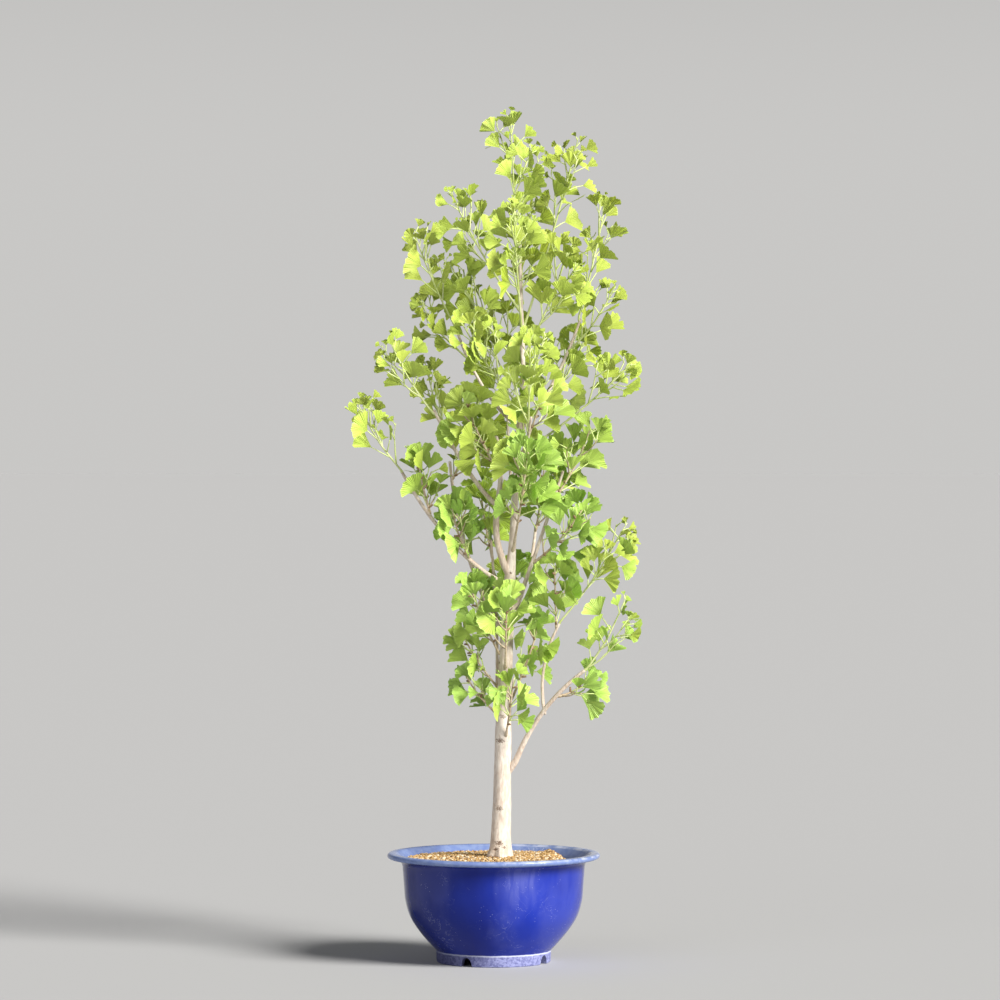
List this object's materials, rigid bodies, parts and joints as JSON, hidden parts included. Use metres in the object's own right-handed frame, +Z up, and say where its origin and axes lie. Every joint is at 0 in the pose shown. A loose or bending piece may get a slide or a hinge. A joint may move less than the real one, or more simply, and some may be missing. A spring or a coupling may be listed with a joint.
{
  "type": "potted ginkgo tree",
  "caption": "Young upright ginkgo tree with fan-shaped leaves on slender ascending boughs, growing in a low blue glazed bowl pot on a notched foot ring.",
  "frame": {"origin": "middle of the bounding box seen from above, on the level ground that the pot stands on", "axes": "+Z up along the trunk, +X to the right of the side seen in the picture, +Y away from the viewer of that side"},
  "size_m": [0.418, 0.298, 1.1918],
  "materials": {
    "glaze": "gloss",
    "mix": "matte",
    "bark": "matte",
    "leaf": "satin"
  },
  "bodies": {
    "root": {"pot": "glaze", "soil": "mix", "trunk": "bark", "bough_back": "bark", "bough_back_left": "bark", "bough_back_right": "bark", "bough_front": "bark", "bough_inner_left": "bark", "bough_long_left": "bark", "bough_low_left": "bark", "bough_low_right": "bark", "bough_low_right_arm": "bark", "bough_right": "bark", "bough_second_stem": "bark", "bough_side_stem": "bark", "bough_upper_left": "bark", "bough_upper_right": "bark", "leaves_back_low_left": "leaf", "leaves_back_low_right": "leaf", "leaves_far_left": "leaf", "leaves_far_right": "leaf", "leaves_far_right_low": "leaf", "leaves_foot_back": "leaf", "leaves_foot_front": "leaf", "leaves_foot_left": "leaf", "leaves_foot_right": "leaf", "leaves_heart_back": "leaf", "leaves_heart_front": "leaf", "leaves_heart_left": "leaf", "leaves_heart_right": "leaf", "leaves_high_back": "leaf", "leaves_high_front": "leaf", "leaves_high_left": "leaf", "leaves_high_right": "leaf", "leaves_knee_right": "leaf", "leaves_leader": "leaf", "leaves_left_inner": "leaf", "leaves_left_low": "leaf", "leaves_left_low_tip": "leaf", "leaves_left_mid": "leaf", "leaves_left_tip": "leaf", "leaves_low_front": "leaf", "leaves_low_left": "leaf", "leaves_low_right": "leaf", "leaves_low_right_tip": "leaf", "leaves_lowest_left": "leaf", "leaves_middle_back": "leaf", "leaves_middle_front": "leaf", "leaves_outer_left": "leaf", "leaves_outer_right": "leaf", "leaves_right_inner": "leaf", "leaves_right_low": "leaf", "leaves_right_mid": "leaf", "leaves_shoulder_left": "leaf", "leaves_shoulder_right": "leaf", "leaves_top_left": "leaf", "leaves_top_right": "leaf"}
  },
  "joints": []
}
